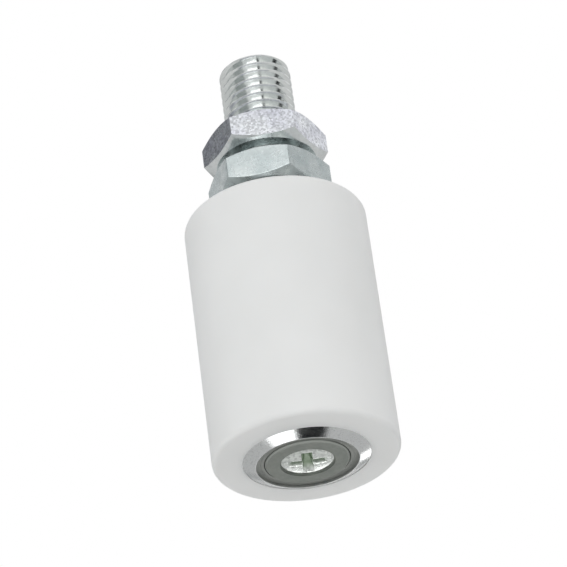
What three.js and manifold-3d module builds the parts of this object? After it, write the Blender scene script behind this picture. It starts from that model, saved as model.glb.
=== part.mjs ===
// Sliding door roller: a nylon roller on two ball bearings, carried by a steel
// axle that is threaded at its free end and held in a bracket by a hexagon and
// a jam nut. Millimetres, +Z up along the axle. The origin is the centre of the
// lowest plane, the face of the lower bearing's outer ring.

import * as THREE from 'three';
import { mergeVertices } from 'three/addons/utils/BufferGeometryUtils.js';
import Module from 'manifold-3d';

const wasm = await Module();
wasm.setup();

// ---------------------------------------------------------------------------
// Driving dimensions
// ---------------------------------------------------------------------------

const ROLLER_RADIUS = 20;
const ROLLER_TOP = 59.6;
const ROLLER_BORE_RADIUS = 12;
const ROLLER_LOWER_EDGE = 1;
const ROLLER_UPPER_EDGE = 1.4;

const THREAD_RADIUS = 8;
const THREAD_END = 100;
const THREAD_CHAMFER = 0.8;

const HEX_ACROSS_FLATS = 24;
const HEX_FACE_CIRCLE = 11.4;
const HEX_CHAMFER_ANGLE = THREE.MathUtils.degToRad(30);
const AXLE_HEX_BOTTOM = 64.8;
const AXLE_HEX_TOP = 72.8;
const AXLE_HEX_TURN = THREE.MathUtils.degToRad(-99);
const NUT_BOTTOM = 74.85;
const NUT_THICKNESS = 7.5;
const NUT_TURN = THREE.MathUtils.degToRad(-89);
const NUT_BORE_RADIUS = 8.1;
const NUT_COUNTERSINK = 0.6;

const COLLAR_RADIUS = 9;
const SHAFT_RADIUS = 6;
const SHAFT_END = 1.5;
const SHAFT_EDGE = 0.4;

const BEARING_RADIUS = 14;
const BEARING_WIDTH = 8;
const BEARING_STANDS_PROUD = 1.1;
const INNER_RING_SETBACK = 1.2;
const INNER_SHOULDER_RADIUS = 8.6;
const OUTER_SHOULDER_RADIUS = 11.45;
const PITCH_RADIUS = 10;
const BALL_RADIUS = 2.381;
const BALL_COUNT = 8;
const RACEWAY_RADIUS = 2.5;
const BEVEL_DEPTH = 1.37;
const CREST_RADIUS = 11.1;
const MOUTH_RADIUS = 10.9;
const SHIELD_GROOVE_RADIUS = 11.8;
const SHIELD_GROOVE_WIDTH = 0.4;
const SHIELD_SETBACK = 0.5;
const SHIELD_THICKNESS = 0.3;
const CAGE_HALF_THICKNESS = 1;
const CAGE_BASE = 3.1;
const CAGE_PRONG = 1.9;
const CAGE_POCKET_RADIUS = 2.55;

const SPACER_RADIUS = 8;

const WASHER_SETBACK = 0.05;
const WASHER_EDGE = 0.25;
const SCREW_SETBACK = 0.1;
const SCREW_HEAD_RADIUS = 5.65;
const SCREW_HEAD_RIM = 0.3;
const SCREW_SHANK_RADIUS = 3;
const SCREW_LENGTH = 16;
const SCREW_POINT = 0.6;
const SCREW_HOLE_DEPTH = 20;
const RECESS_HALF_LENGTH = 3.6;
const RECESS_HALF_WIDTH = 0.75;
const RECESS_DEPTH = 2.2;
const RECESS_LENGTH_TAPER = 0.45;
const RECESS_WIDTH_TAPER = 0.7;

// Radial and axial play between pieces that are pressed or clamped together,
// and between those that turn past each other.
const SEAT_PLAY = 0.03;
const RUNNING_PLAY = 0.15;

// Flats round a turned piece, and on a ball.
const TURNED_STEPS = 36;
const ARC_STEPS = 6;
const FILLET_STEPS = 4;
const BALL_STEPS = 12;
const BALL_ROWS = 6;

// ---------------------------------------------------------------------------
// Worked-out positions
// ---------------------------------------------------------------------------

const ROLLER_BOTTOM = BEARING_STANDS_PROUD;
const BEARING_SPAN = ROLLER_TOP + BEARING_STANDS_PROUD;
const BALL_SETBACK = (INNER_RING_SETBACK + BEARING_WIDTH) / 2;
const COLLAR_FACE = BEARING_SPAN - INNER_RING_SETBACK;
const HEX_CORNER_RADIUS = HEX_ACROSS_FLATS / Math.sqrt(3);

// ---------------------------------------------------------------------------
// Materials
// ---------------------------------------------------------------------------

const finish = (color, roughness, metalness) =>
  new THREE.MeshStandardMaterial({ color, roughness, metalness });

const nylon = () => finish(0xe2e2e0, 0.55, 0);
const zincPlate = () => finish(0xc4cad0, 0.28, 1);
const polishedSteel = () => finish(0xd8dadc, 0.08, 1);
const dullZinc = () => finish(0x74766f, 0.5, 0.8);
const bareSteel = () => finish(0x9fa3a6, 0.3, 1);
const cagePlastic = () => finish(0x2c4a3a, 0.6, 0);

// ---------------------------------------------------------------------------
// Solids
// ---------------------------------------------------------------------------

/** A closed three.js geometry as a manifold solid, for cuts and joins. */
function toSolid(geometry) {
  const bare = geometry.clone();
  bare.deleteAttribute('normal');
  bare.deleteAttribute('uv');
  const merged = mergeVertices(bare, 1e-4);
  return new wasm.Manifold(new wasm.Mesh({
    numProp: 3,
    vertProperties: Float32Array.from(merged.attributes.position.array),
    triVerts: Uint32Array.from(merged.index.array),
  }));
}

/** A manifold solid as a three.js geometry. */
function toGeometry(solid) {
  const { numProp, vertProperties, triVerts } = solid.getMesh();
  const geometry = new THREE.BufferGeometry();
  geometry.setAttribute('position', new THREE.BufferAttribute(vertProperties, numProp));
  geometry.setIndex(new THREE.BufferAttribute(triVerts, 1));
  geometry.computeVertexNormals();
  return geometry;
}

/** A named mesh of one piece. */
function piece(name, geometry, material) {
  const mesh = new THREE.Mesh(geometry, material);
  mesh.name = name;
  return mesh;
}

/**
 * A turned solid about +Z. The profile is a list of [radius, height] points
 * that runs up the outside, and down the inside where there is a bore.
 */
function turned(profile) {
  const points = profile.map(([radius, height]) => new THREE.Vector2(radius, height));
  return new THREE.LatheGeometry(points, TURNED_STEPS).rotateX(Math.PI / 2);
}

/** A turned ring or tube, whose profile closes on its first point. */
function turnedRing(profile) {
  return turned([...profile, profile[0]]);
}

/** Points on an arc of the profile plane, from one angle to another. */
function arc(radius, height, arcRadius, from, to, steps) {
  return Array.from({ length: steps + 1 }, (_, step) => {
    const angle = from + ((to - from) * step) / steps;
    return [radius + arcRadius * Math.cos(angle), height + arcRadius * Math.sin(angle)];
  });
}

/** A hexagonal prism whose first flat faces the given direction. */
function hexPrism(bottom, height, turn) {
  const outline = new THREE.Shape(Array.from({ length: 6 }, (_, corner) => {
    const angle = turn + ((corner + 0.5) * Math.PI) / 3;
    return new THREE.Vector2(
      HEX_CORNER_RADIUS * Math.cos(angle),
      HEX_CORNER_RADIUS * Math.sin(angle),
    );
  }));
  const geometry = new THREE.ExtrudeGeometry(outline, { depth: height, bevelEnabled: false });
  return geometry.translate(0, 0, bottom);
}

/** A hexagon with the corners of both faces turned off at the chamfer angle. */
function chamferedHex(bottom, height, turn) {
  const reach = HEX_CORNER_RADIUS + 1;
  const drop = (reach - HEX_FACE_CIRCLE) * Math.tan(HEX_CHAMFER_ANGLE);
  const envelope = turned([
    [0, bottom],
    [HEX_FACE_CIRCLE, bottom],
    [reach, bottom + drop],
    [reach, bottom + height - drop],
    [HEX_FACE_CIRCLE, bottom + height],
    [0, bottom + height],
  ]);
  return toSolid(hexPrism(bottom, height, turn)).intersect(toSolid(envelope));
}

// ---------------------------------------------------------------------------
// Axle, jam nut and end fixing
// ---------------------------------------------------------------------------

/** The stud, hexagon, collar and bearing shaft, turned from one hexagon bar. */
function axle() {
  const headDepthAtEnd = SHAFT_END - SCREW_SETBACK - SCREW_HEAD_RIM;
  const holeMouth = SCREW_HEAD_RADIUS - headDepthAtEnd + RUNNING_PLAY;
  const holeRadius = SCREW_SHANK_RADIUS + RUNNING_PLAY;
  const hexMiddle = (AXLE_HEX_BOTTOM + AXLE_HEX_TOP) / 2;
  const stem = turned([
    [0, SCREW_HOLE_DEPTH],
    [holeRadius, SCREW_HOLE_DEPTH],
    [holeRadius, SHAFT_END + holeMouth - holeRadius],
    [holeMouth, SHAFT_END],
    [SHAFT_RADIUS - SHAFT_EDGE, SHAFT_END],
    [SHAFT_RADIUS, SHAFT_END + SHAFT_EDGE],
    [SHAFT_RADIUS, COLLAR_FACE],
    [COLLAR_RADIUS, COLLAR_FACE],
    [COLLAR_RADIUS, hexMiddle],
    [THREAD_RADIUS, hexMiddle],
    [THREAD_RADIUS, THREAD_END - THREAD_CHAMFER],
    [THREAD_RADIUS - THREAD_CHAMFER, THREAD_END],
    [0, THREAD_END],
  ]);
  const hex = chamferedHex(AXLE_HEX_BOTTOM, AXLE_HEX_TOP - AXLE_HEX_BOTTOM, AXLE_HEX_TURN);
  return piece('axle', toGeometry(toSolid(stem).add(hex)), zincPlate());
}

/** The thin nut that clamps the bracket against the axle's hexagon. */
function jamNut() {
  const top = NUT_BOTTOM + NUT_THICKNESS;
  const past = 1;
  const mouth = NUT_BORE_RADIUS + NUT_COUNTERSINK;
  const bore = turned([
    [0, NUT_BOTTOM - past],
    [mouth + past, NUT_BOTTOM - past],
    [NUT_BORE_RADIUS, NUT_BOTTOM + NUT_COUNTERSINK],
    [NUT_BORE_RADIUS, top - NUT_COUNTERSINK],
    [mouth + past, top + past],
    [0, top + past],
  ]);
  const nut = chamferedHex(NUT_BOTTOM, NUT_THICKNESS, NUT_TURN).subtract(toSolid(bore));
  return piece('jam_nut', toGeometry(nut), zincPlate());
}

/** The washer that holds the lower inner ring, countersunk for the screw. */
function retainingWasher() {
  const face = WASHER_SETBACK;
  const back = INNER_RING_SETBACK - SEAT_PLAY;
  const mouth = SCREW_HEAD_RADIUS + RUNNING_PLAY;
  const geometry = turnedRing([
    [mouth, face],
    [COLLAR_RADIUS - WASHER_EDGE, face],
    [COLLAR_RADIUS, face + WASHER_EDGE],
    [COLLAR_RADIUS, back],
    [mouth - (back - SCREW_SETBACK - SCREW_HEAD_RIM), back],
    [mouth, SCREW_SETBACK + SCREW_HEAD_RIM],
  ]);
  return piece('retaining_washer', geometry, dullZinc());
}

/** One bar of the screw's cross recess, tapering with depth. */
function recessBar(turn) {
  const past = 0.5;
  const height = RECESS_DEPTH + past;
  const bar = new THREE.BoxGeometry(2 * RECESS_HALF_LENGTH, 2 * RECESS_HALF_WIDTH, height);
  const corners = bar.attributes.position;
  for (let index = 0; index < corners.count; index += 1) {
    if (corners.getZ(index) > 0) {
      corners.setX(index, corners.getX(index) * RECESS_LENGTH_TAPER);
      corners.setY(index, corners.getY(index) * RECESS_WIDTH_TAPER);
    }
  }
  bar.translate(0, 0, SCREW_SETBACK + (RECESS_DEPTH - past) / 2);
  return toSolid(bar.rotateZ(turn));
}

/** The countersunk screw, driven up into the end of the axle. */
function crossScrew() {
  const cone = SCREW_HEAD_RADIUS - SCREW_SHANK_RADIUS;
  const neck = SCREW_SETBACK + SCREW_HEAD_RIM + cone;
  const tip = SCREW_SETBACK + SCREW_LENGTH;
  const body = toSolid(turned([
    [0, SCREW_SETBACK],
    [SCREW_HEAD_RADIUS, SCREW_SETBACK],
    [SCREW_HEAD_RADIUS, SCREW_SETBACK + SCREW_HEAD_RIM],
    [SCREW_SHANK_RADIUS, neck],
    [SCREW_SHANK_RADIUS, tip - SCREW_POINT],
    [SCREW_SHANK_RADIUS - SCREW_POINT, tip],
    [0, tip],
  ]));
  const recess = recessBar(0).add(recessBar(Math.PI / 2));
  return piece('cross_screw', toGeometry(body.subtract(recess)), zincPlate());
}

/** The tube that keeps the two inner rings apart. */
function spacerTube() {
  const bottom = BEARING_WIDTH + SEAT_PLAY;
  const top = BEARING_SPAN - BEARING_WIDTH - SEAT_PLAY;
  const geometry = turnedRing([
    [SHAFT_RADIUS + SEAT_PLAY, bottom],
    [SPACER_RADIUS, bottom],
    [SPACER_RADIUS, top],
    [SHAFT_RADIUS + SEAT_PLAY, top],
  ]);
  return piece('spacer_tube', geometry, bareSteel());
}

// ---------------------------------------------------------------------------
// Roller sleeve
// ---------------------------------------------------------------------------

/** The nylon tread, with a bearing seat bored into each end. */
function rollerSleeve() {
  const lower = arc(
    ROLLER_RADIUS - ROLLER_LOWER_EDGE, ROLLER_BOTTOM + ROLLER_LOWER_EDGE,
    ROLLER_LOWER_EDGE, -Math.PI / 2, 0, FILLET_STEPS,
  );
  const upper = arc(
    ROLLER_RADIUS - ROLLER_UPPER_EDGE, ROLLER_TOP - ROLLER_UPPER_EDGE,
    ROLLER_UPPER_EDGE, 0, Math.PI / 2, FILLET_STEPS,
  );
  const geometry = turnedRing([
    [BEARING_RADIUS, ROLLER_BOTTOM],
    ...lower,
    ...upper,
    [BEARING_RADIUS, ROLLER_TOP],
    [BEARING_RADIUS, BEARING_SPAN - BEARING_WIDTH],
    [ROLLER_BORE_RADIUS, BEARING_SPAN - BEARING_WIDTH],
    [ROLLER_BORE_RADIUS, BEARING_WIDTH],
    [BEARING_RADIUS, BEARING_WIDTH],
  ]);
  return piece('roller_sleeve', geometry, nylon());
}

// ---------------------------------------------------------------------------
// Ball bearings, drawn for the lower end: outer face at height 0
// ---------------------------------------------------------------------------

/** Half the angle over which a raceway's arc runs before its shoulder. */
const racewayHalfAngle = (shoulder) =>
  Math.acos(Math.abs(shoulder - PITCH_RADIUS) / RACEWAY_RADIUS);

/** The ring pressed into the sleeve, bevelled where it shows. */
function outerRing(name) {
  const outside = BEARING_RADIUS - SEAT_PLAY;
  const back = BEARING_WIDTH - SEAT_PLAY;
  const half = racewayHalfAngle(OUTER_SHOULDER_RADIUS);
  const grooveFar = SHIELD_SETBACK + SHIELD_GROOVE_WIDTH;
  const geometry = turnedRing([
    [MOUTH_RADIUS, 0],
    [CREST_RADIUS, 0],
    [outside, BEVEL_DEPTH],
    [outside, back],
    [MOUTH_RADIUS, back],
    [MOUTH_RADIUS, back - SHIELD_SETBACK],
    [SHIELD_GROOVE_RADIUS, back - SHIELD_SETBACK],
    [SHIELD_GROOVE_RADIUS, back - grooveFar],
    [OUTER_SHOULDER_RADIUS, back - grooveFar],
    ...arc(PITCH_RADIUS, BALL_SETBACK, RACEWAY_RADIUS, half, -half, ARC_STEPS),
    [OUTER_SHOULDER_RADIUS, grooveFar],
    [SHIELD_GROOVE_RADIUS, grooveFar],
    [SHIELD_GROOVE_RADIUS, SHIELD_SETBACK],
    [MOUTH_RADIUS, SHIELD_SETBACK],
  ]);
  return piece(name, geometry, polishedSteel());
}

/** The ring clamped on the axle's shaft. */
function innerRing(name) {
  const half = racewayHalfAngle(INNER_SHOULDER_RADIUS);
  const geometry = turnedRing([
    [SHAFT_RADIUS + SEAT_PLAY, INNER_RING_SETBACK],
    [INNER_SHOULDER_RADIUS, INNER_RING_SETBACK],
    ...arc(PITCH_RADIUS, BALL_SETBACK, RACEWAY_RADIUS, Math.PI + half, Math.PI - half, ARC_STEPS),
    [INNER_SHOULDER_RADIUS, BEARING_WIDTH],
    [SHAFT_RADIUS + SEAT_PLAY, BEARING_WIDTH],
  ]);
  return piece(name, geometry, polishedSteel());
}

/** A thin plate snapped into the outer ring, clear of what turns inside it. */
function shield(name, height, innerRadius) {
  const outside = SHIELD_GROOVE_RADIUS - SEAT_PLAY;
  const geometry = turnedRing([
    [innerRadius, height],
    [outside, height],
    [outside, height + SHIELD_THICKNESS],
    [innerRadius, height + SHIELD_THICKNESS],
  ]);
  return piece(name, geometry, dullZinc());
}

const ballDirection = (index) => (index * 2 * Math.PI) / BALL_COUNT;

/** The moulded crown that keeps the balls apart. */
function cage(name) {
  const inner = PITCH_RADIUS - CAGE_HALF_THICKNESS;
  const outer = PITCH_RADIUS + CAGE_HALF_THICKNESS;
  let crown = toSolid(turnedRing([
    [inner, BALL_SETBACK - CAGE_BASE],
    [outer, BALL_SETBACK - CAGE_BASE],
    [outer, BALL_SETBACK + CAGE_PRONG],
    [inner, BALL_SETBACK + CAGE_PRONG],
  ]));
  for (let index = 0; index < BALL_COUNT; index += 1) {
    const pocket = new THREE.SphereGeometry(CAGE_POCKET_RADIUS, BALL_STEPS, BALL_ROWS);
    pocket.translate(PITCH_RADIUS, 0, BALL_SETBACK);
    crown = crown.subtract(toSolid(pocket.rotateZ(ballDirection(index))));
  }
  return piece(name, toGeometry(crown), cagePlastic());
}

/** One ball of the set, on the pitch circle. */
function ball(name, index) {
  const sphere = new THREE.SphereGeometry(BALL_RADIUS, BALL_STEPS, BALL_ROWS);
  const mesh = piece(name, sphere, polishedSteel());
  mesh.position.set(
    PITCH_RADIUS * Math.cos(ballDirection(index)),
    PITCH_RADIUS * Math.sin(ballDirection(index)),
    BALL_SETBACK,
  );
  return mesh;
}

/** A whole bearing: rings, shields, cage and balls. */
function bearing(side) {
  const group = new THREE.Group();
  const backShield = BEARING_WIDTH - 2 * SEAT_PLAY - SHIELD_SETBACK - SHIELD_THICKNESS;
  group.add(
    outerRing(`${side}_outer_ring`),
    innerRing(`${side}_inner_ring`),
    shield(`${side}_outer_shield`, SHIELD_SETBACK + SEAT_PLAY, COLLAR_RADIUS + RUNNING_PLAY),
    shield(`${side}_back_shield`, backShield, INNER_SHOULDER_RADIUS + RUNNING_PLAY),
    cage(`${side}_cage`),
  );
  for (let index = 0; index < BALL_COUNT; index += 1) {
    group.add(ball(`${side}_ball_${index + 1}`, index));
  }
  return group;
}

// ---------------------------------------------------------------------------
// Assembly
// ---------------------------------------------------------------------------

const roller = new THREE.Group();

// The upper bearing is the lower one turned end for end.
const lowerBearing = bearing('lower');
const upperBearing = bearing('upper');
upperBearing.rotation.x = Math.PI;
upperBearing.position.z = BEARING_SPAN;

roller.add(
  axle(),
  jamNut(),
  rollerSleeve(),
  spacerTube(),
  retainingWasher(),
  crossScrew(),
  lowerBearing,
  upperBearing,
);

export default roller;
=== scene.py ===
# %% [markdown]
# # A sliding door roller, made in Blender
# A nylon roller turns on two ball bearings at the foot of a zinc plated axle. The axle's stud
# screws up into the door's hanger, and a thin nut locks it. The imported CAD model is the fixed
# frame: every piece below takes its place from it, and is made finer than the CAD solid it
# stands for. First the frame is loaded.

from math import acos, atan2, cos, pi, radians, sin, sqrt, tan

import bpy
from mathutils import Matrix, Vector


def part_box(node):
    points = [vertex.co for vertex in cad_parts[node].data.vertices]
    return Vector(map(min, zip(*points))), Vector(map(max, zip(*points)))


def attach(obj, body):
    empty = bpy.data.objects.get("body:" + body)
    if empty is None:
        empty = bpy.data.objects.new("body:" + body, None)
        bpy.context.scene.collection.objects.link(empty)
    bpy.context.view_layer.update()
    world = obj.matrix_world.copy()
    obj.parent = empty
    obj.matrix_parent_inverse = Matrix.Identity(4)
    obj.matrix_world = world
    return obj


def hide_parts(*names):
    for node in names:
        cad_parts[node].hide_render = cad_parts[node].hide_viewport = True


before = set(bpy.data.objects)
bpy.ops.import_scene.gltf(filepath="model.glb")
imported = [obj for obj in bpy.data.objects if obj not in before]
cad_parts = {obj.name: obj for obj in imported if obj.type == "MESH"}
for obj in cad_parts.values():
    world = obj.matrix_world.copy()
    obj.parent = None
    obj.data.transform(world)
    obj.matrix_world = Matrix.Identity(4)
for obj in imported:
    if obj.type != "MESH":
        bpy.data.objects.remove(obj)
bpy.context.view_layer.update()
MM = 0.001

# %% [markdown]
# ## The camera
# The camera comes first, because every later choice is judged through it. It looks at the
# roller from the front and from below, so the bearing end shows, and it is rolled a little, so
# the stud leans to the left. A long lens keeps the two ends of the roller nearly parallel. The
# camera could be aimed with a constraint, but a matrix made from the line of sight and the roll
# says the same in three lines.

# %% Camera
EYE = Vector((0, -572.02, -299.43)) * MM
AIM = Vector((0.08, 0, 44.17)) * MM
LENS = 195.94
SENSOR = 36
NEAR, FAR = 0.01, 20
ROLL = radians(-7.85)

camera = bpy.data.objects.new("camera", bpy.data.cameras.new("camera"))
bpy.context.scene.collection.objects.link(camera)
sight = (AIM - EYE).to_track_quat("-Z", "Y").to_matrix().to_4x4()
camera.matrix_world = Matrix.Translation(EYE) @ sight @ Matrix.Rotation(ROLL, 4, "Z")
camera.data.lens = LENS
camera.data.sensor_width = SENSOR
camera.data.clip_start = NEAR
camera.data.clip_end = FAR
camera.data.dof.use_dof = False
bpy.context.scene.camera = camera
print("camera", [round(c / MM) for c in EYE], "lens", LENS)

# %% [markdown]
# ## The studio
# Bright steel has no colour of its own: it shows the room. The room here is a pale floor well
# below the camera, a white surround, large soft lights, and a few dark flags. Without the
# flags, the plated faces would all turn the same white. Each card is placed by the direction
# in which a face of the roller looks, and turned to face the roller. The flags are seen only in
# reflections, so that they never cross another view. First come the helpers that place a card.

# %% Helpers for cards
CENTRE = Vector((0, 0, 45)) * MM
DECK = -0.45


def clear_selection():
    if bpy.context.object and bpy.context.object.mode != "OBJECT":
        bpy.ops.object.mode_set(mode="OBJECT")
    bpy.ops.object.select_all(action="DESELECT")


def toward(azimuth, elevation):
    """The direction at that angle round +Z from +X, and above the horizon, in degrees."""
    a, e = radians(azimuth), radians(elevation)
    return Vector((cos(a) * cos(e), sin(a) * cos(e), sin(e)))


def soft_light(name, place, width, height, glow, colour=(1, 1, 1), level=False, mirrored=True):
    """A rectangle of light. It faces the roller, or straight up or down when it is level.

    One that is not mirrored lights the roller, but does not show in bright metal.
    """
    lamp = bpy.data.lights.new(name, "AREA")
    lamp.shape = "RECTANGLE"
    lamp.size, lamp.size_y = width, height
    lamp.energy = glow * pi * width * height
    lamp.color = colour
    obj = bpy.data.objects.new(name, lamp)
    bpy.context.scene.collection.objects.link(obj)
    obj.location = place
    if level:
        obj.rotation_euler = (pi if place.z < 0 else 0, 0, 0)
    else:
        obj.rotation_euler = (place - CENTRE).to_track_quat("Z", "Y").to_euler()
    obj.visible_camera = False
    obj.visible_glossy = mirrored


def plain_paint(name, shade, roughness):
    paint = bpy.data.materials.new(name)
    paint.use_nodes = True
    shader = paint.node_tree.nodes["Principled BSDF"]
    shader.inputs["Base Color"].default_value = (*shade, 1)
    shader.inputs["Roughness"].default_value = roughness
    shader.inputs["Specular IOR Level"].default_value = 0.2
    return paint


def flag(name, place, width, height, paint, level=False):
    """A card that keeps light away, or shows as a dark patch in bright metal."""
    clear_selection()
    turn = (0, 0, 0) if level else (place - CENTRE).to_track_quat("Z", "Y").to_euler()
    bpy.ops.mesh.primitive_plane_add(size=1, location=place, rotation=turn)
    obj = bpy.context.object
    obj.name = name
    obj.scale = (width, height, 1)
    obj.data.materials.append(paint)
    obj.visible_camera = False
    obj.visible_shadow = False


def at(azimuth, elevation, distance):
    return CENTRE + toward(azimuth, elevation) * distance


# %% [markdown]
# The floor is a large pale sheet. It lies far enough down that its shadow is soft and out of the
# picture, and the roller's underside reflects it.

# %% Floor and paints
floor_paint = plain_paint("pale_floor", (0.79, 0.79, 0.78), 0.6)
black_paint = plain_paint("black_flag", (0.012, 0.013, 0.014), 0.9)
grey_paint = plain_paint("grey_flag", (0.24, 0.25, 0.265), 0.9)
pale_grey_paint = plain_paint("pale_grey_flag", (0.44, 0.46, 0.46), 0.9)

clear_selection()
bpy.ops.mesh.primitive_plane_add(size=6, location=(0, 0, DECK))
deck = bpy.context.object
deck.name = "floor"
deck.data.materials.append(floor_paint)
print("floor at", DECK, "m")

# %% [markdown]
# Three fills brighten the nylon from the front and the sides. The two at the sides are left out
# of reflections, or they would leave bright spots in the thread. The other lights are there to be
# reflected: the strips draw the white and cream columns down the thread and light the middle
# flats, the right light serves the right flats, and the back light and the low light show in the
# undersides and in the bearing ring. Between them stand the flags. The left flag keeps the left
# flats dark, the gaps part the columns of the thread, and the flag on the floor makes the dark
# patch in the bearing ring.

# %% Lights and flags
soft_light("front_fill", at(-98, 0, 1.3), 1.1, 0.7, 1.75)
soft_light("left_fill", at(-172, 0, 1.3), 0.7, 0.7, 1.15, mirrored=False)
soft_light("right_fill", at(-8, 0, 1.3), 0.7, 0.7, 0.8, mirrored=False)
soft_light("right_light", at(40, 31, 1.4), 0.5, 0.6, 0.36)
soft_light("back_low_light", at(82, -15, 1.5), 0.85, 0.3, 1.7)
soft_light("low_left_light", Vector((-0.125, 0.117, -0.43)), 0.16, 0.13, 1.5, level=True)
soft_light("white_strip", at(-93, 29, 1.4), 0.84, 0.14, 1.65)
soft_light("cream_strip", at(-51, 29, 1.4), 0.6, 0.2, 0.35, (1, 0.99, 0.84))
flag("left_flag", at(158, 31, 1.3), 0.65, 0.9, grey_paint)
flag("strip_gap", at(-71, 29, 1.3), 0.17, 0.3, black_paint)
flag("stud_left_flag", at(-145, 22, 1.3), 0.85, 1.0, pale_grey_paint)
flag("right_gap", at(-6, 20, 1.3), 0.34, 0.8, black_paint)
flag("under_flag", Vector((0.049, 0.083, -0.44)), 0.165, 0.09, black_paint, level=True)
print("studio:", len(bpy.data.lights), "lights")

# %% [markdown]
# The surround is plain white where the camera sees it and a softer grey where it lights the
# roller, darker towards the ground. Light Path tells the two apart.

# %% Surround
GROUND_GREY = (0.42, 0.44, 0.43, 1)
SKY_WHITE = (0.95, 0.96, 0.97, 1)
DARK_BELOW, PALE_ABOVE = 0.3, 0.75
SURROUND_LEVEL = 0.72

world = bpy.data.worlds.new("surround")
bpy.context.scene.world = world
world.use_nodes = True
tree = world.node_tree
tree.nodes.clear()


def world_node(kind, x, y):
    node = tree.nodes.new(kind)
    node.location = (x, y)
    return node


direction = world_node("ShaderNodeTexCoord", -900, 0)
split = world_node("ShaderNodeSeparateXYZ", -700, 0)
height_ramp = world_node("ShaderNodeValToRGB", -500, 0)
lighting = world_node("ShaderNodeBackground", -200, -60)
backdrop = world_node("ShaderNodeBackground", -200, 100)
path = world_node("ShaderNodeLightPath", -200, 420)
choose = world_node("ShaderNodeMixShader", 50, 0)
out = world_node("ShaderNodeOutputWorld", 250, 0)
span = world_node("ShaderNodeMapRange", -600, -200)
span.inputs["From Min"].default_value = -1
span.inputs["From Max"].default_value = 1
tree.links.new(direction.outputs["Generated"], split.inputs[0])
tree.links.new(split.outputs["Z"], span.inputs["Value"])
tree.links.new(span.outputs["Result"], height_ramp.inputs["Fac"])
tree.links.new(height_ramp.outputs["Color"], lighting.inputs["Color"])
tree.links.new(path.outputs["Is Camera Ray"], choose.inputs["Fac"])
tree.links.new(lighting.outputs[0], choose.inputs[1])
tree.links.new(backdrop.outputs[0], choose.inputs[2])
tree.links.new(choose.outputs[0], out.inputs["Surface"])
backdrop.inputs["Color"].default_value = (1, 1, 1, 1)
lighting.inputs["Strength"].default_value = SURROUND_LEVEL
height_ramp.color_ramp.elements[0].position = DARK_BELOW
height_ramp.color_ramp.elements[0].color = GROUND_GREY
height_ramp.color_ramp.elements[1].position = PALE_ABOVE
height_ramp.color_ramp.elements[1].color = SKY_WHITE
bpy.context.scene.view_settings.view_transform = "Standard"
bpy.context.scene.view_settings.look = "None"
print("surround level", SURROUND_LEVEL)

# %% [markdown]
# ## Finishes
# Each finish is a small recipe of nodes on the piece's own Object coordinates, so a pattern
# keeps its real size: 1 unit is 1 m, and a scale of 1000 makes features of about 1 mm. One helper
# lays down what they share: a colour that wanders between two shades, a roughness that
# wanders between two values, and a fine bump.

# %% Helpers for finishes
class Finish:
    """A material under construction, with short ways to add and join nodes."""

    def __init__(self, name):
        self.material = bpy.data.materials.new(name)
        self.material.use_nodes = True
        self.tree = self.material.node_tree
        self.shader = self.tree.nodes["Principled BSDF"]
        self.coords = self.tree.nodes.new("ShaderNodeTexCoord").outputs["Object"]

    def add(self, kind, **values):
        node = self.tree.nodes.new(kind)
        for key, value in values.items():
            if hasattr(node, key):
                setattr(node, key, value)
            else:
                node.inputs[key.replace("_", " ")].default_value = value
        return node

    def join(self, source, target):
        self.tree.links.new(source, target)

    def placed(self, scale):
        mapping = self.add("ShaderNodeMapping")
        mapping.inputs["Scale"].default_value = scale
        self.join(self.coords, mapping.inputs["Vector"])
        return mapping.outputs["Vector"]

    def noise(self, size_mm, detail=3, stretch=(1, 1, 1), roughness=0.5):
        node = self.add("ShaderNodeTexNoise", Scale=1.0, Detail=detail, Roughness=roughness)
        scale = [s / (size_mm * MM) for s in stretch]
        self.join(self.placed(scale), node.inputs["Vector"])
        return node.outputs["Fac"]

    def ramp(self, source, stops):
        node = self.add("ShaderNodeValToRGB")
        elements = node.color_ramp.elements
        while len(elements) < len(stops):
            elements.new(0.5)
        for element, (position, colour) in zip(elements, stops):
            element.position = position
            element.color = (*colour, 1) if isinstance(colour, tuple) else (colour,) * 3 + (1,)
        self.join(source, node.inputs["Fac"])
        return node.outputs["Color"]

    def blend(self, factor, first, second, mode="MIX"):
        node = self.add("ShaderNodeMix", data_type="RGBA", blend_type=mode)
        if hasattr(factor, "links"):
            self.join(factor, node.inputs[0])
        else:
            node.inputs[0].default_value = factor
        self.join(first, node.inputs[6])
        self.join(second, node.inputs[7])
        return node.outputs[2]

    def bumps(self, layers):
        """Stacks bump layers, each a height source, a strength and a depth in mm."""
        normal = None
        for source, strength, depth in layers:
            node = self.add("ShaderNodeBump", Strength=strength, Distance=depth * MM)
            self.join(source, node.inputs["Height"])
            if normal is not None:
                self.join(normal, node.inputs["Normal"])
            normal = node.outputs["Normal"]
        self.join(normal, self.shader.inputs["Normal"])

    def shade(self, target, source, first, second, stops=(0.3, 0.7)):
        """Lets a pattern steer an input of the shader between two colours or two values."""
        steered = self.ramp(source, [(stops[0], first), (stops[1], second)])
        self.join(steered, self.shader.inputs[target])

    def colour_so_far(self):
        return self.shader.inputs["Base Color"].links[0].from_socket

    def set(self, **values):
        for key, value in values.items():
            self.shader.inputs[key.replace("_", " ")].default_value = value


# %% [markdown]
# ### Turned white nylon
# The sleeve is cast nylon turned on a lathe. It is satin, a little translucent, and carries
# very fine tool lines round its axis. Scattering under the surface gives the soft glow at
# its rim. The lines are noise squeezed along the axis, because a wave would be too regular.

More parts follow.
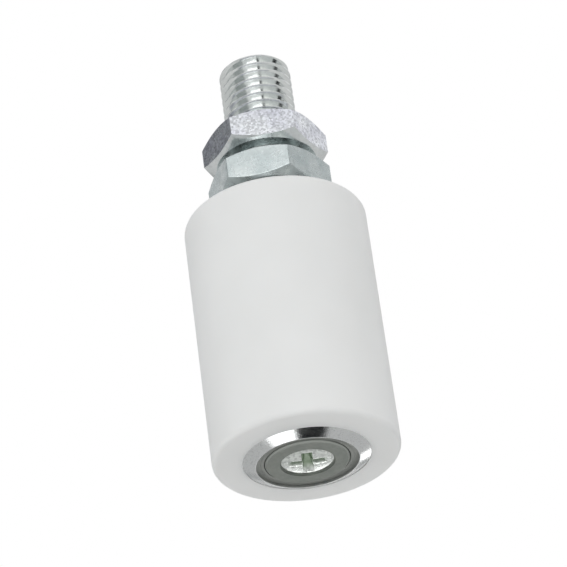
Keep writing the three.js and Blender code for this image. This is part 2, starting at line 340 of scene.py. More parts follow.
# %% Nylon
nylon = Finish("turned_nylon")
nylon.shade("Base Color", nylon.noise(22, detail=2), (0.850, 0.852, 0.845), (0.885, 0.886, 0.880))
nylon.shade("Roughness", nylon.noise(4, detail=4, stretch=(1, 1, 0.5)), 0.42, 0.55)
tool_lines = nylon.noise(3, detail=3, stretch=(0.12, 0.12, 14))
grain = nylon.noise(0.35, detail=2)
nylon.bumps([(tool_lines, 0.12, 0.03), (grain, 0.06, 0.01)])
nylon.set(Subsurface_Weight=0.25, Subsurface_Scale=0.003, IOR=1.5, Specular_IOR_Level=0.42)
nylon.shader.inputs["Subsurface Radius"].default_value = (1.0, 0.95, 0.9)
print("finish", nylon.material.name)

# %% [markdown]
# ### Zinc plate
# Bright zinc is a bluish white metal. The machined axle keeps faint scuffs under it, and the
# pressed nut shows the crystals of its blank as a sparkle. The cut thread and the nut's turned
# underside are smoother, almost mirrors. The recipes differ only in their two colours, the size
# and depth of the crystals, how dull they are and how dark the darkest crystal is, so
# one function makes them all.


# %% Zinc plate
def zinc(name, base, pale, crystal_mm, crystal_depth, rough, dark_crystal):
    plate = Finish(name)
    clouds = plate.noise(5, detail=3)
    flecks = plate.noise(crystal_mm, detail=2, roughness=0.7)
    tint = plate.ramp(clouds, [(0.32, base), (0.68, pale)])
    cells = plate.add("ShaderNodeTexVoronoi", Scale=1.0)
    plate.join(plate.placed([1 / (crystal_mm * MM)] * 3), cells.inputs["Vector"])
    sparkle = plate.ramp(cells.outputs["Color"], [(0.2, dark_crystal), (0.75, 1.0)])
    plate.join(plate.blend(1.0, tint, sparkle, "MULTIPLY"), plate.shader.inputs["Base Color"])
    smears = plate.noise(1.6, detail=4)
    plate.shade("Roughness", smears, rough, rough + 0.14, stops=(0.3, 0.72))
    dents = plate.noise(2.2, detail=3)
    plate.bumps([(dents, 0.18, 0.03), (flecks, crystal_depth, 0.02)])
    plate.set(Metallic=1.0)
    return plate


axle_zinc = zinc("axle_zinc", (0.60, 0.665, 0.665), (0.74, 0.79, 0.785), 0.55, 0.15, 0.22, 0.9)
thread_zinc = zinc("thread_zinc", (0.84, 0.87, 0.86), (0.93, 0.95, 0.94), 0.6, 0.06, 0.06, 0.95)
nut_zinc = zinc("nut_zinc", (0.70, 0.71, 0.78), (0.86, 0.88, 0.91), 0.42, 0.8, 0.24, 0.6)
turned_zinc = zinc("turned_zinc", (0.80, 0.83, 0.83), (0.90, 0.92, 0.92), 0.6, 0.1, 0.07, 0.9)
screw_zinc = zinc("screw_zinc", (0.80, 0.84, 0.80), (0.95, 0.97, 0.94), 0.5, 0.9, 0.12, 0.6)
print("plated:", [f.material.name for f in (axle_zinc, thread_zinc, nut_zinc, turned_zinc)])

# %% [markdown]
# ### Dark green in the screw's recess
# A darker green is blended over the zinc of the cross recess by height: the head's face keeps
# the zinc's colour, and the green grows with the depth below it.

# %% Green in the recess
GREEN_FROM_DEPTH, GREEN_FULL_DEPTH = 0.45, 1.5
height = screw_zinc.add("ShaderNodeSeparateXYZ")
screw_zinc.join(screw_zinc.coords, height.inputs[0])
depth_share = screw_zinc.add("ShaderNodeMapRange")
depth_share.inputs["From Min"].default_value = GREEN_FROM_DEPTH * MM
depth_share.inputs["From Max"].default_value = GREEN_FULL_DEPTH * MM
screw_zinc.join(height.outputs["Z"], depth_share.inputs["Value"])
# a darker green that grows with the depth below the head's face
recess_green = screw_zinc.ramp(screw_zinc.noise(0.9), [
    (0.3, (0.24, 0.31, 0.22)), (0.7, (0.42, 0.50, 0.39)),
])
screw_zinc.join(
    screw_zinc.blend(depth_share.outputs["Result"], screw_zinc.colour_so_far(), recess_green),
    screw_zinc.shader.inputs["Base Color"])
print("finish", screw_zinc.material.name)

# %% [markdown]
# ### Bearing steel
# The outer rings are ground and polished, so they are close to a mirror, with a few specks of
# dirt. The specks darken the colour and dent the surface a little.

# %% Bearing steel
ring_steel = Finish("polished_steel")
specks = ring_steel.noise(0.25, detail=2, roughness=0.7)
ring_steel.shade("Base Color", specks, 0.38, (0.71, 0.72, 0.72), stops=(0.32, 0.44))
ring_steel.shade("Roughness", ring_steel.noise(1.2, detail=3), 0.05, 0.12)
ring_steel.bumps([(specks, 0.8, 0.015)])
ring_steel.set(Metallic=1.0)
print("finish", ring_steel.material.name)

# %% [markdown]
# ### Dull sheet steel
# The retaining washer and the shields are dull olive grey, from a passivated plating that has
# stained. The washer's rim carries a painted highlight: a pale band round the axis is blended
# over its stains where the rim's bevel catches the light.


# %% Dull sheet steel
def dull_steel(name, dark, pale, smoothest):
    """The shared recipe. It also returns its two patterns, for the bumps."""
    steel = Finish(name)
    stain = steel.noise(3.5, detail=4)
    steel.shade("Base Color", stain, dark, pale)
    haze = steel.noise(0.9, detail=3)
    steel.shade("Roughness", haze, smoothest, 0.56)
    steel.set(Metallic=0.85)
    return steel, stain, haze


def worn_band(finish, inner_mm, outer_mm, colour):
    """Paints a pale band past a radius, a painted highlight where the light catches a bevelled
    rim.
    """
    flat = finish.placed((1, 1, 0))
    length = finish.add("ShaderNodeVectorMath", operation="LENGTH")
    finish.join(flat, length.inputs[0])
    span = finish.add("ShaderNodeMapRange")
    span.inputs["From Min"].default_value = inner_mm * MM
    span.inputs["From Max"].default_value = outer_mm * MM
    finish.join(length.outputs["Value"], span.inputs["Value"])
    # the band's colour is a painted highlight
    rim_highlight = finish.ramp(span.outputs["Result"], [(0.0, colour), (1.0, colour)])
    finish.join(finish.blend(span.outputs["Result"], finish.colour_so_far(), rim_highlight),
                finish.shader.inputs["Base Color"])


sheet_steel, stain, haze = dull_steel(
    "dull_zinc_sheet", (0.250, 0.262, 0.246), (0.300, 0.308, 0.288), 0.42)
sheet_steel.bumps([(stain, 0.2, 0.03), (haze, 0.12, 0.01)])
washer_steel = dull_steel("washer_painted_rim_highlight", (0.205, 0.222, 0.203), (0.255, 0.268, 0.243), 0.40)[0]
washer_steel.bumps([(washer_steel.noise(2.5, detail=3), 0.2, 0.03)])
# a painted highlight: a pale band on the washer's bevelled rim
worn_band(washer_steel, 8.5, 8.8, (0.44, 0.46, 0.43))
print("finishes", sheet_steel.material.name, washer_steel.material.name)

# %% [markdown]
# ### Oiled tube and cage plastic
# The tube and the cages are hidden inside the roller, so theirs are short. The tube keeps the
# long scratches of drawing along its axis, and the cages are dark green moulded polyamide.

# %% Tube and cage
tube_steel = Finish("oiled_tube")
drawn = tube_steel.noise(0.5, detail=3, stretch=(1, 1, 0.06))
tube_steel.shade("Base Color", drawn, (0.36, 0.37, 0.38), (0.47, 0.48, 0.48))
tube_steel.bumps([(drawn, 0.25, 0.02)])
tube_steel.set(Metallic=1.0, Roughness=0.32)

cage_green = Finish("cage_polyamide")
mould = cage_green.noise(0.6, detail=2)
cage_green.shade("Base Color", mould, (0.022, 0.055, 0.040), (0.035, 0.080, 0.058))
cage_green.bumps([(mould, 0.2, 0.01)])
cage_green.set(Roughness=0.5)
print("materials:", len(bpy.data.materials))

# %% [markdown]
# ## Making turned pieces
# Nearly all of the roller comes off a lathe, so one helper does what a lathe does. It starts
# from a small plane merged to one point, draws half the outline by extruding that point, and
# spins the outline round the axis. Where the outline ends on its first point, the
# spin closes as a ring; where it starts and ends on the axis, it closes as a solid. Doubles are
# merged before the normals are made to agree. A second helper rounds the corners of an outline,
# because no real edge is sharp and the round is what catches the light.

# %% The lathe
STEPS = 128
WELD = 2e-6
ARC_STEP = radians(18)


def rounded(corners):
    """Corners are (radius, height) or (radius, height, round) in mm; rounds become arcs."""
    points = []
    count = len(corners)
    for index, corner in enumerate(corners):
        here = Vector(corner[:2])
        size = corner[2] if len(corner) > 2 else 0
        if not size:
            points.append(tuple(here))
            continue
        before = Vector(corners[index - 1][:2]) - here
        after = Vector(corners[(index + 1) % count][:2]) - here
        half = before.angle(after) / 2
        reach = size / tan(half)
        centre = here + (before.normalized() + after.normalized()).normalized() * size / sin(half)
        start = here + before.normalized() * reach - centre
        end = here + after.normalized() * reach - centre
        swing = atan2(start.cross(end), start.dot(end))
        pieces = max(2, round(abs(swing) / ARC_STEP))
        for step in range(pieces + 1):
            spoke = Matrix.Rotation(swing * step / pieces, 2) @ start
            points.append(tuple(centre + spoke))
    return points


def lathe_turn(name, outline, steps=STEPS):
    clear_selection()
    radius, height = outline[0]
    bpy.ops.mesh.primitive_plane_add(size=MM, location=(0, 0, 0))
    obj = bpy.context.object
    obj.name = name
    bpy.ops.object.mode_set(mode="EDIT")
    bpy.ops.mesh.select_all(action="SELECT")
    bpy.ops.mesh.merge(type="CENTER")
    bpy.ops.transform.translate(value=(radius * MM, 0, height * MM))
    for (r0, z0), (r1, z1) in zip(outline, outline[1:]):
        step = ((r1 - r0) * MM, 0, (z1 - z0) * MM)
        bpy.ops.mesh.extrude_vertices_move(TRANSFORM_OT_translate={"value": step})
    bpy.ops.mesh.select_all(action="SELECT")
    bpy.ops.mesh.spin(steps=steps, angle=2 * pi, center=(0, 0, 0), axis=(0, 0, 1))
    bpy.ops.mesh.select_all(action="SELECT")
    bpy.ops.mesh.remove_doubles(threshold=WELD)
    bpy.ops.mesh.normals_make_consistent(inside=False)
    bpy.ops.object.mode_set(mode="OBJECT")
    return obj


def lathe_ring(name, corners, steps=STEPS):
    outline = rounded(corners)
    return lathe_turn(name, outline + [outline[0]], steps)


print("lathe:", STEPS, "steps a turn")

# %% [markdown]
# ## Finishing a piece
# Every piece ends the same way. It is shaded smooth up to the angle of a real edge, with normals
# weighted towards the large faces, so flats stay flat beside their rounds. Then it gets its
# finish and the body that it moves with, and the CAD solids that it stands for are hidden. Some
# pieces have a second finish on a part of their faces.

# %% Helpers for finished pieces
SMOOTH_BELOW = 28


def size_of(node):
    """Outer radius, bottom and top of a CAD node, in mm."""
    low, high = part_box(node)
    return max(high.x, high.y) / MM, low.z / MM, high.z / MM


def choose_only(obj):
    clear_selection()
    obj.select_set(True)
    bpy.context.view_layer.objects.active = obj


def smooth(obj):
    choose_only(obj)
    bpy.ops.object.shade_smooth_by_angle(angle=radians(SMOOTH_BELOW))
    weigh = obj.modifiers.new("weigh", "WEIGHTED_NORMAL")
    weigh.keep_sharp = True
    bpy.ops.object.modifier_apply(modifier=weigh.name)


def finished(obj, finish, body, slot, *nodes):
    """Gives a piece its finish and body, and hides the CAD nodes it stands for."""
    obj.data.materials.clear()
    obj.data.materials.append(finish.material)
    smooth(obj)
    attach(obj, body)
    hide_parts(*nodes)
    triangles = sum(len(face.vertices) - 2 for face in obj.data.polygons)
    print(f"{obj.name}: {triangles} triangles")


def second_finish(obj, finish, chosen):
    """Gives the chosen faces of a finished piece another finish."""
    obj.data.materials.append(finish.material)
    for face in obj.data.polygons:
        if chosen(face):
            face.material_index = 1
    print(f"{obj.name}: {finish.material.name} on some of its faces")


print("smooth below", SMOOTH_BELOW, "degrees")

# %% [markdown]
# ## The nylon sleeve
# A thick tube with a bearing seat bored into each end. Its lower rim is barely broken and its
# upper rim is rounder. At both ends a thin lip closes over the bearing's edge. The whole outline,
# with the two seats and the relief between them, is one ring for the lathe.

# %% Sleeve
FIT = 0.03
ROLLER, ROLLER_BOTTOM, ROLLER_TOP = size_of("roller_sleeve")
SEAT = round(size_of("lower_outer_ring")[0], 1)
LOWER_SEAT_END = size_of("lower_outer_ring")[2] + FIT
UPPER_SEAT_END = size_of("upper_outer_ring")[1] - FIT
TUBE_BORE = 12
LIP, LIP_DEPTH, LIP_ROUND = 13.46, 0.32, 0.06
LOWER_ROUND, UPPER_ROUND = 1.25, 1.5
SLEEVE_STEPS = 192
sleeve = lathe_ring("nylon_sleeve", [
    (SEAT, ROLLER_BOTTOM + LIP_DEPTH), (LIP, ROLLER_BOTTOM, LIP_ROUND),
    (ROLLER, ROLLER_BOTTOM, LOWER_ROUND), (ROLLER, ROLLER_TOP, UPPER_ROUND),
    (LIP, ROLLER_TOP, LIP_ROUND), (SEAT, ROLLER_TOP - LIP_DEPTH),
    (SEAT, UPPER_SEAT_END, 0.15), (TUBE_BORE, UPPER_SEAT_END, 0.4),
    (TUBE_BORE, LOWER_SEAT_END, 0.4), (SEAT, LOWER_SEAT_END, 0.15),
], SLEEVE_STEPS)
finished(sleeve, nylon, "roller", "nylon", "roller_sleeve")

# %% [markdown]
# ## Threads
# A thread is one tooth carried round the axis while it climbs one pitch a turn. The Screw
# modifier does just that. The worm that it leaves has a loose seam at each end, so it is made
# too long and cut to length by two bisects that fill their cuts. The worm then meets a turned
# blank in a Boolean, which gives the stud its chamfered tip, or it is taken away from a blank,
# which gives the nut its thread. Both worms start at the same place, so nut and stud mesh.

# %% The thread worm
PITCH = 2.0
THREAD = 8.0
TOOTH_DEPTH = 1.22
FLANK = radians(30)
CREST_ROUND = 0.06
THREAD_STEPS = 72


def worm(name, bottom, top, phase_height, ease=0.0):
    """A right-hand thread as a closed rod, cut flat at both ends. Sizes in mm."""
    clear_selection()
    flank = TOOTH_DEPTH * tan(FLANK)
    crest = PITCH / 8
    root = (PITCH - crest - 2 * flank) / 2
    low, high = THREAD - TOOTH_DEPTH, THREAD - TOOTH_DEPTH * CREST_ROUND
    tooth = [
        (low, 0), (low, root), (high, root + flank * (1 - CREST_ROUND)),
        (THREAD, root + flank + crest * 0.25), (THREAD, root + flank + crest * 0.75),
        (high, root + flank * (1 + CREST_ROUND) + crest), (low, PITCH - root), (low, PITCH),
    ]
    tooth = [(r + ease, z) for r, z in tooth]
    bpy.ops.mesh.primitive_plane_add(size=MM, location=(0, 0, 0))
    rod = bpy.context.object
    rod.name = name
    bpy.ops.object.mode_set(mode="EDIT")
    bpy.ops.mesh.select_all(action="SELECT")
    bpy.ops.mesh.merge(type="CENTER")
    turns = int((top - bottom) / PITCH) + 4
    first = phase_height - PITCH * (int((phase_height - bottom) / PITCH) + 2)
    bpy.ops.transform.translate(value=(tooth[0][0] * MM, 0, first * MM))
    for (r0, z0), (r1, z1) in zip(tooth, tooth[1:]):
        step = ((r1 - r0) * MM, 0, (z1 - z0) * MM)
        bpy.ops.mesh.extrude_vertices_move(TRANSFORM_OT_translate={"value": step})
    bpy.ops.object.mode_set(mode="OBJECT")
    screw = rod.modifiers.new("screw", "SCREW")
    screw.angle = 2 * pi
    screw.screw_offset = PITCH * MM
    screw.iterations = turns
    screw.steps = screw.render_steps = THREAD_STEPS
    screw.use_merge_vertices = True
    screw.merge_threshold = WELD
    bpy.ops.object.modifier_apply(modifier=screw.name)
    bpy.ops.object.mode_set(mode="EDIT")
    bpy.ops.mesh.select_all(action="SELECT")
    bpy.ops.mesh.remove_doubles(threshold=WELD)
    for height, up in ((bottom, False), (top, True)):
        bpy.ops.mesh.select_all(action="SELECT")
        bpy.ops.mesh.bisect(plane_co=(0, 0, height * MM), plane_no=(0, 0, 1), use_fill=True,
                            clear_inner=not up, clear_outer=up, threshold=1e-7)
    bpy.ops.mesh.select_all(action="SELECT")
    bpy.ops.mesh.normals_make_consistent(inside=False)
    bpy.ops.object.mode_set(mode="OBJECT")
    return rod


print("thread M", 2 * THREAD, "x", PITCH)

# %% [markdown]
# ## Cutting, joining and breaking edges
# Booleans cut and join the solids exactly. Where two round surfaces meet, a Boolean can leave
# pairs of points in one place, and a weld closes those seams. A small bevel on each sharp edge
# is what catches the light on real metal.


# %% Helpers for edges
def cut(target, tool, operation="DIFFERENCE"):
    """Carries out a Boolean and throws the tool away."""
    choose_only(target)
    boolean = target.modifiers.new("boolean", "BOOLEAN")
    boolean.operation = operation
    boolean.solver = "EXACT"
    boolean.object = tool
    bpy.ops.object.modifier_apply(modifier=boolean.name)
    bpy.data.objects.remove(tool)
    return target


def weld(obj):
    choose_only(obj)
    bpy.ops.object.mode_set(mode="EDIT")
    bpy.ops.mesh.select_all(action="SELECT")
    bpy.ops.mesh.remove_doubles(threshold=WELD)
    bpy.ops.object.mode_set(mode="OBJECT")


def break_edges(obj, width, angle=25, segments=2):
    """A small bevel on every edge sharper than the angle."""
    choose_only(obj)
    bevel = obj.modifiers.new("bevel", "BEVEL")
    bevel.width = width * MM
    bevel.segments = segments
    bevel.limit_method = "ANGLE"
    bevel.angle_limit = radians(angle)
    bpy.ops.object.modifier_apply(modifier=bevel.name)


print("edge helpers ready")

# %% [markdown]
# ## Hexagons
# A hexagon starts as a six-sided cylinder. On the real part its corners are turned off at 30
# degrees, and where that cone meets the flats it draws the curved edge that everyone knows from
# a nut. The same is done here: the prism meets a turned blank with coned ends in a Boolean.

# %% The hexagon
ACROSS_FLATS = 24.0
FACE_CIRCLE = 11.15
CORNER_CONE = radians(30)
FLAT_EDGE = 0.2


def hexagon(name, bottom, top, flat_direction):
    """A hexagon with one flat facing that way, in degrees round +Z from +X."""
    clear_selection()
    corner = ACROSS_FLATS / sqrt(3)
    bpy.ops.mesh.primitive_cylinder_add(vertices=6, radius=corner * MM,
                                        depth=(top - bottom) * MM, location=(0, 0, 0))
    prism = bpy.context.object
    prism.name = name
    bpy.ops.object.mode_set(mode="EDIT")
    bpy.ops.mesh.select_all(action="SELECT")
    bpy.ops.transform.translate(value=(0, 0, (top + bottom) / 2 * MM))
    bpy.ops.object.mode_set(mode="OBJECT")
    # the cylinder's first corner lies on +Y, so a flat looks 30 degrees to the side of it
    turn = radians(flat_direction - 90 - 30)
    prism.data.transform(Matrix.Rotation(turn, 4, "Z"))
    reach = corner + 1
    drop = (reach - FACE_CIRCLE) * tan(CORNER_CONE)
    blank = lathe_turn("blank", [
        (0, bottom), (FACE_CIRCLE, bottom), (reach, bottom + drop),
        (reach, top - drop), (FACE_CIRCLE, top), (0, top),
    ])
    prism = cut(prism, blank, "INTERSECT")
    break_edges(prism, FLAT_EDGE)
    return prism


print("hexagon", ACROSS_FLATS, "mm across its flats")

# %% [markdown]
# ## The axle
# One bar of hexagon steel makes the stud, the hexagon, the collar and the shaft for the bearings.
# The stem is turned in one outline, from the tapped hole in its foot to the relief groove above
# the hexagon. The hexagon and the threaded stud are then joined to it.

# %% Axle
AXLE_END, AXLE_TOP = size_of("axle")[1:]
HEX_BOTTOM, HEX_TOP = 64.8, 72.8
HEX_FLAT = -99
COLLAR, COLLAR_FACE = 9.0, 59.5
SHAFT = 6.0
TAPPED, TAPPED_END = 3.15, 20
SINK, SINK_END = 5.75, 4.0
ROOT = THREAD - TOOTH_DEPTH - 0.1
BLANK = THREAD + 0.05
RELIEF_END, RUN_OUT_END = HEX_TOP + 0.9, HEX_TOP + 2.2
TIP, TIP_DEPTH = THREAD - 0.8, 0.85

stem = lathe_turn("axle_with_stud", rounded([
    (0, TAPPED_END), (TAPPED, TAPPED_END), (TAPPED, SINK_END), (SINK, AXLE_END),
    (SHAFT, AXLE_END, 0.2), (SHAFT, COLLAR_FACE), (COLLAR, COLLAR_FACE, 0.3),
    (COLLAR, HEX_BOTTOM + 1), (0, HEX_BOTTOM + 1),
]))
axle_hex = hexagon("axle_hexagon", HEX_BOTTOM, HEX_TOP, HEX_FLAT)
stud_blank = lathe_turn("stud_blank", rounded([
    (0, HEX_TOP - 3), (ROOT, HEX_TOP - 3), (ROOT, RELIEF_END), (BLANK, RUN_OUT_END),
    (BLANK, AXLE_TOP - TIP_DEPTH), (TIP, AXLE_TOP, 0.1), (0, AXLE_TOP),
]), steps=144)
stud = cut(worm("stud", HEX_TOP - 4, AXLE_TOP + 1, HEX_TOP), stud_blank, "INTERSECT")
axle = cut(cut(stem, axle_hex, "UNION"), stud, "UNION")
weld(axle)
finished(axle, axle_zinc, "axle", "zinc_plate", "axle")

# %% [markdown]
# The cut thread is brighter than the rest of the bar, so its faces take the thread's finish. The
# stud's flat end keeps the bar's.

# %% The thread's finish
THREAD_START = (HEX_TOP + 0.5) * MM
second_finish(axle, thread_zinc,
              lambda face: face.center.z > THREAD_START and face.normal.z < 0.99)

# %% [markdown]
# ## The jam nut
# A thin hexagon nut, countersunk at both mouths. Its thread is the same worm as the stud's, a
# little fatter, taken away from the hexagon. The flats keep the rough crystals of the blank, but
# the underside is turned smooth, so its faces take the smoother zinc.

# %% Jam nut
NUT_BOTTOM, NUT_TOP = size_of("jam_nut")[1:]
NUT_FLAT = -89
MOUTH = THREAD + 0.6
CORE = 6.95
NUT_EASE = 0.06
nut = hexagon("jam_nut_m16", NUT_BOTTOM, NUT_TOP, NUT_FLAT)
core = lathe_turn("core", [
    (0, NUT_BOTTOM - 1), (MOUTH + 1, NUT_BOTTOM - 1), (CORE, NUT_BOTTOM + MOUTH - CORE),
    (CORE, NUT_TOP - MOUTH + CORE), (MOUTH + 1, NUT_TOP + 1), (0, NUT_TOP + 1),
])
nut = cut(nut, core)
nut = cut(nut, worm("nut_worm", NUT_BOTTOM - 1, NUT_TOP + 1, HEX_TOP, NUT_EASE))
finished(nut, nut_zinc, "nut", "zinc_plate", "jam_nut")
second_finish(nut, turned_zinc, lambda face: face.normal.z < -0.5)

# %% [markdown]
# ## The retaining washer
# A thick washer closes the foot of the axle and holds the lower bearing. It is countersunk for
# its screw, and its rim has a small bevel, with a pale ring painted on it as a highlight.

# %% Washer
WASHER, WASHER_FACE, WASHER_BACK = size_of("retaining_washer")
WASHER = round(WASHER, 1)
HEAD = 5.65
HOLE = HEAD + 0.15
RIM = 0.4
washer = lathe_ring("end_washer", [
    (HOLE, WASHER_FACE, 0.08), (WASHER - RIM, WASHER_FACE, 0.15),
    (WASHER, WASHER_FACE + 0.42, 0.1), (WASHER, WASHER_BACK, 0.08),
    (HEAD - 0.62, WASHER_BACK), (HOLE, WASHER_FACE + 0.35),
])
finished(washer, washer_steel, "axle", "dull_zinc", "retaining_washer")

# %% [markdown]
# ## The cross-recessed screw
# A countersunk screw pulls the washer up. Its head is slightly domed. The recess is cut by two
# tapered bars: each is a box whose inner end is drawn in. The edges are then broken, which makes
# the soft lobes between the wings.

# %% Screw
SCREW_FACE, SCREW_TIP = size_of("cross_screw")[1:]
SHANK = 3.0
NECK = SCREW_FACE + 0.3 + HEAD - SHANK
DOME = ((0.3, 0.01), (0.5, 0.05), (0.7, 0.13), (0.87, 0.24))
WING_LENGTH, WING_WIDTH, RECESS_DEPTH = 9.8, 2.7, 2.8
INNER_LENGTH, INNER_WIDTH = 0.24, 0.3
PAST_FACE = 0.6


def recess_bar(turn):
    """A bar that narrows inwards, to cut two wings of the cross."""
    clear_selection()
    bpy.ops.mesh.primitive_cube_add(size=MM)
    bar = bpy.context.object
    bpy.ops.object.mode_set(mode="EDIT")
    bpy.ops.mesh.select_all(action="SELECT")
    bpy.ops.transform.resize(value=(WING_LENGTH, WING_WIDTH, RECESS_DEPTH + PAST_FACE))
    bpy.ops.mesh.select_all(action="DESELECT")
    bpy.ops.object.mode_set(mode="OBJECT")
    for face in bar.data.polygons:
        face.select = face.normal.z > 0.5
    bpy.ops.object.mode_set(mode="EDIT")
    bpy.ops.transform.resize(value=(INNER_LENGTH, INNER_WIDTH, 1))
    bpy.ops.mesh.select_all(action="SELECT")
    lift = SCREW_FACE + (RECESS_DEPTH - PAST_FACE) / 2
    bpy.ops.transform.translate(value=(0, 0, lift * MM))
    bpy.ops.object.mode_set(mode="OBJECT")
    bar.data.transform(Matrix.Rotation(turn, 4, "Z"))
    return bar


screw = lathe_turn("cross_recess_screw", rounded([
    (0, SCREW_FACE), *((HEAD * share, SCREW_FACE + rise) for share, rise in DOME),
    (HEAD, SCREW_FACE + 0.36, 0.1), (HEAD, SCREW_FACE + 0.5, 0.05),
    (SHANK, NECK, 0.4), (SHANK, SCREW_TIP - 0.6), (SHANK - 0.6, SCREW_TIP), (0, SCREW_TIP),
]), steps=96)
for turn in (0, pi / 2):
    screw = cut(screw, recess_bar(turn))
break_edges(screw, 0.38, angle=35, segments=4)
finished(screw, screw_zinc, "axle", "zinc_plate", "cross_screw")

# %% [markdown]
# ## The ball bearings
# Both bearings are the same. Each piece is made once at the lower end, and a second mesh is turned
# end for end for the upper one. First the places are read from the frame.

# %% Bearing places
BALL_LOW, BALL_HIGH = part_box("lower_ball_1")
BALL = (BALL_HIGH.z - BALL_LOW.z) / 2 / MM
BALL_HEIGHT = (BALL_HIGH.z + BALL_LOW.z) / 2 / MM
PITCH_CIRCLE = 10.0
SPAN = size_of("upper_outer_ring")[2]
INNER_FACE = size_of("lower_inner_ring")[1]
RING_BACK = size_of("lower_outer_ring")[2]
SHIELD_EDGE, SHIELD_LOW, SHIELD_HIGH = size_of("lower_outer_shield")
BACK_LOW, BACK_HIGH = size_of("lower_back_shield")[1:]
END_FOR_END = Matrix.Translation((0, 0, SPAN * MM)) @ Matrix.Rotation(pi, 4, "X")


def upper_copy(lower, name):
    """The upper bearing's copy of a lower piece, with its own mesh."""
    copy = bpy.data.objects.new(name, lower.data.copy())
    bpy.context.scene.collection.objects.link(copy)
    copy.data.transform(END_FOR_END)
    return copy


def finished_pair(lower, finish, body, slot, node):
    """Copies a lower piece to the upper end, and finishes both."""
    upper = upper_copy(lower, lower.name.replace("lower", "upper"))
    finished(lower, finish, body.format("lower"), slot, node.format("lower"))
    finished(upper, finish, body.format("upper"), slot, node.format("upper"))


print("bearing span", round(SPAN, 2), "ball radius", round(BALL, 3))

# %% [markdown]
# The outer ring stands a little proud of the nylon. It has a wide polished bevel at its face, and
# a groove near each end for a shield. The inner ring is plainer. The raceways are arcs round the
# ball's centre, a little wider than the ball.

# %% Rings
RACE = 2.5
OUTER_SHOULDER, INNER_SHOULDER = 11.45, 8.6
RING_BORE, RING_FACE, BEVEL_DEPTH = 10.9, 11.1, 1.37
RING_OUTSIDE = SEAT - FIT
GROOVE = SHIELD_EDGE + FIT
GROOVE_EASE = 0.07
RING_BEHIND = 8.0
half_outer = acos((OUTER_SHOULDER - PITCH_CIRCLE) / RACE)
half_inner = acos((PITCH_CIRCLE - INNER_SHOULDER) / RACE)
outer_arc = [(PITCH_CIRCLE + RACE * cos(a), BALL_HEIGHT + RACE * sin(a))
             for a in [half_outer * (1 - step / 8) for step in range(17)]]
inner_arc = [(PITCH_CIRCLE - RACE * cos(a), BALL_HEIGHT + RACE * sin(a))
             for a in [half_inner * (step / 8 - 1) for step in range(17)]]
outer_ring = lathe_ring("lower_bearing_outer_ring", [
    (RING_BORE, 0, 0.06), (RING_FACE, 0, 0.12), (RING_OUTSIDE, BEVEL_DEPTH, 0.15),
    (RING_OUTSIDE, RING_BACK, 0.4), (RING_BORE, RING_BACK, 0.15),
    (RING_BORE, BACK_HIGH + FIT), (GROOVE, BACK_HIGH + FIT),
    (GROOVE, BACK_LOW - GROOVE_EASE), (OUTER_SHOULDER, BACK_LOW - GROOVE_EASE),
    *outer_arc, (OUTER_SHOULDER, SHIELD_HIGH + GROOVE_EASE),
    (GROOVE, SHIELD_HIGH + GROOVE_EASE), (GROOVE, SHIELD_LOW - FIT),
    (RING_BORE, SHIELD_LOW - FIT),
])
finished_pair(outer_ring, ring_steel, "roller", "polished_steel", "{}_outer_ring")
inner_ring = lathe_ring("lower_bearing_inner_ring", [
    (SHAFT + FIT, INNER_FACE, 0.2), (INNER_SHOULDER, INNER_FACE, 0.15), *inner_arc,
    (INNER_SHOULDER, RING_BEHIND, 0.15), (SHAFT + FIT, RING_BEHIND, 0.2),
])
finished_pair(inner_ring, ring_steel, "axle", "polished_steel", "{}_inner_ring")

# %% [markdown]
# The shields are thin pressed plates. Each has a rolled outer bead and a shallow step, which
# stiffens it and draws the fine rings that show round the washer.

# %% Shields
SHIELD_GAP = 0.15


def shield(name, low, high, inside):
    middle = low + (high - low) * 0.3
    return lathe_ring(name, [
        (inside, low, 0.06), (inside + 0.7, low, 0.05), (inside + 0.85, middle, 0.05),
        (SHIELD_EDGE - 0.9, middle, 0.05), (SHIELD_EDGE - 0.75, low, 0.05),
        (SHIELD_EDGE, low, 0.1), (SHIELD_EDGE, high, 0.1), (inside, high, 0.06),
    ])


front = shield("lower_bearing_outer_shield", SHIELD_LOW, SHIELD_HIGH, COLLAR + SHIELD_GAP)
back = shield("lower_bearing_back_shield", BACK_LOW, BACK_HIGH, INNER_SHOULDER + SHIELD_GAP)
front_copy = upper_copy(front, "upper_bearing_outer_shield")
back_copy = upper_copy(back, "upper_bearing_back_shield")
finished(front, sheet_steel, "roller", "dull_zinc", "lower_outer_shield")
finished(back, sheet_steel, "roller", "dull_zinc", "lower_back_shield")
finished(front_copy, sheet_steel, "roller", "dull_zinc", "upper_outer_shield")
finished(back_copy, sheet_steel, "roller", "dull_zinc", "upper_back_shield")

# %% [markdown]
# Eight balls run in a moulded crown. A ball starts as a cube, cut into small squares and blown up
# to a sphere, which leaves no poles. The crown is a turned ring with eight round
# pockets cut out of it.

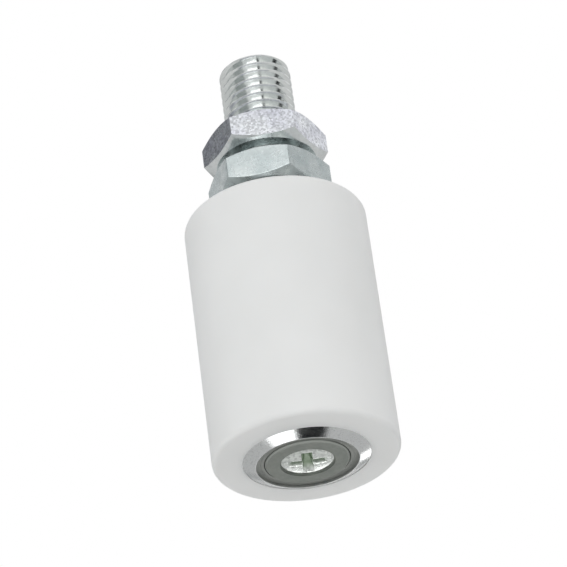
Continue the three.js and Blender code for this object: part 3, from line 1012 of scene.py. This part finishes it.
# %% Balls and cages
BALLS = 8
BALL_CUTS = 11
POCKET = 2.55
CAGE_INNER, CAGE_OUTER = PITCH_CIRCLE - 1, PITCH_CIRCLE + 1
CAGE_LOW, CAGE_HIGH = size_of("lower_cage")[1:]


def round_ball(name, radius):
    clear_selection()
    bpy.ops.mesh.primitive_cube_add(size=2 * radius * MM)
    ball = bpy.context.object
    ball.name = name
    bpy.ops.object.mode_set(mode="EDIT")
    bpy.ops.mesh.select_all(action="SELECT")
    bpy.ops.mesh.subdivide(number_cuts=BALL_CUTS)
    bpy.ops.object.mode_set(mode="OBJECT")
    for vertex in ball.data.vertices:
        vertex.co = vertex.co.normalized() * radius * MM
    return ball


def on_pitch_circle(ball, index):
    angle = index * 2 * pi / BALLS
    place = (PITCH_CIRCLE * cos(angle) * MM, PITCH_CIRCLE * sin(angle) * MM, BALL_HEIGHT * MM)
    ball.data.transform(Matrix.Translation(place))
    return ball


crown = lathe_ring("lower_bearing_cage", [
    (CAGE_INNER, CAGE_LOW, 0.2), (CAGE_OUTER, CAGE_LOW, 0.2),
    (CAGE_OUTER, CAGE_HIGH, 0.1), (CAGE_INNER, CAGE_HIGH, 0.1),
])
for index in range(BALLS):
    crown = cut(crown, on_pitch_circle(round_ball("pocket", POCKET), index))
finished_pair(crown, cage_green, "{}_balls", "cage_plastic", "{}_cage")
for index in range(BALLS):
    number = index + 1
    ball = on_pitch_circle(round_ball(f"lower_bearing_ball_{number}", BALL), index)
    finished_pair(ball, ring_steel, "{}_balls", "polished_steel", "{}_ball_" + str(number))

# %% [markdown]
# The spacer tube keeps the two inner rings apart. It is cut from drawn tube, so only its ends are
# turned and broken.

# %% Spacer tube
SPACER, SPACER_LOW, SPACER_HIGH = size_of("spacer_tube")
SPACER_EDGE = 0.3
spacer = lathe_ring("spacer", [
    (SHAFT + FIT, SPACER_LOW, SPACER_EDGE), (SPACER, SPACER_LOW, SPACER_EDGE),
    (SPACER, SPACER_HIGH, SPACER_EDGE), (SHAFT + FIT, SPACER_HIGH, SPACER_EDGE),
])
finished(spacer, tube_steel, "axle", "bare_steel", "spacer_tube")
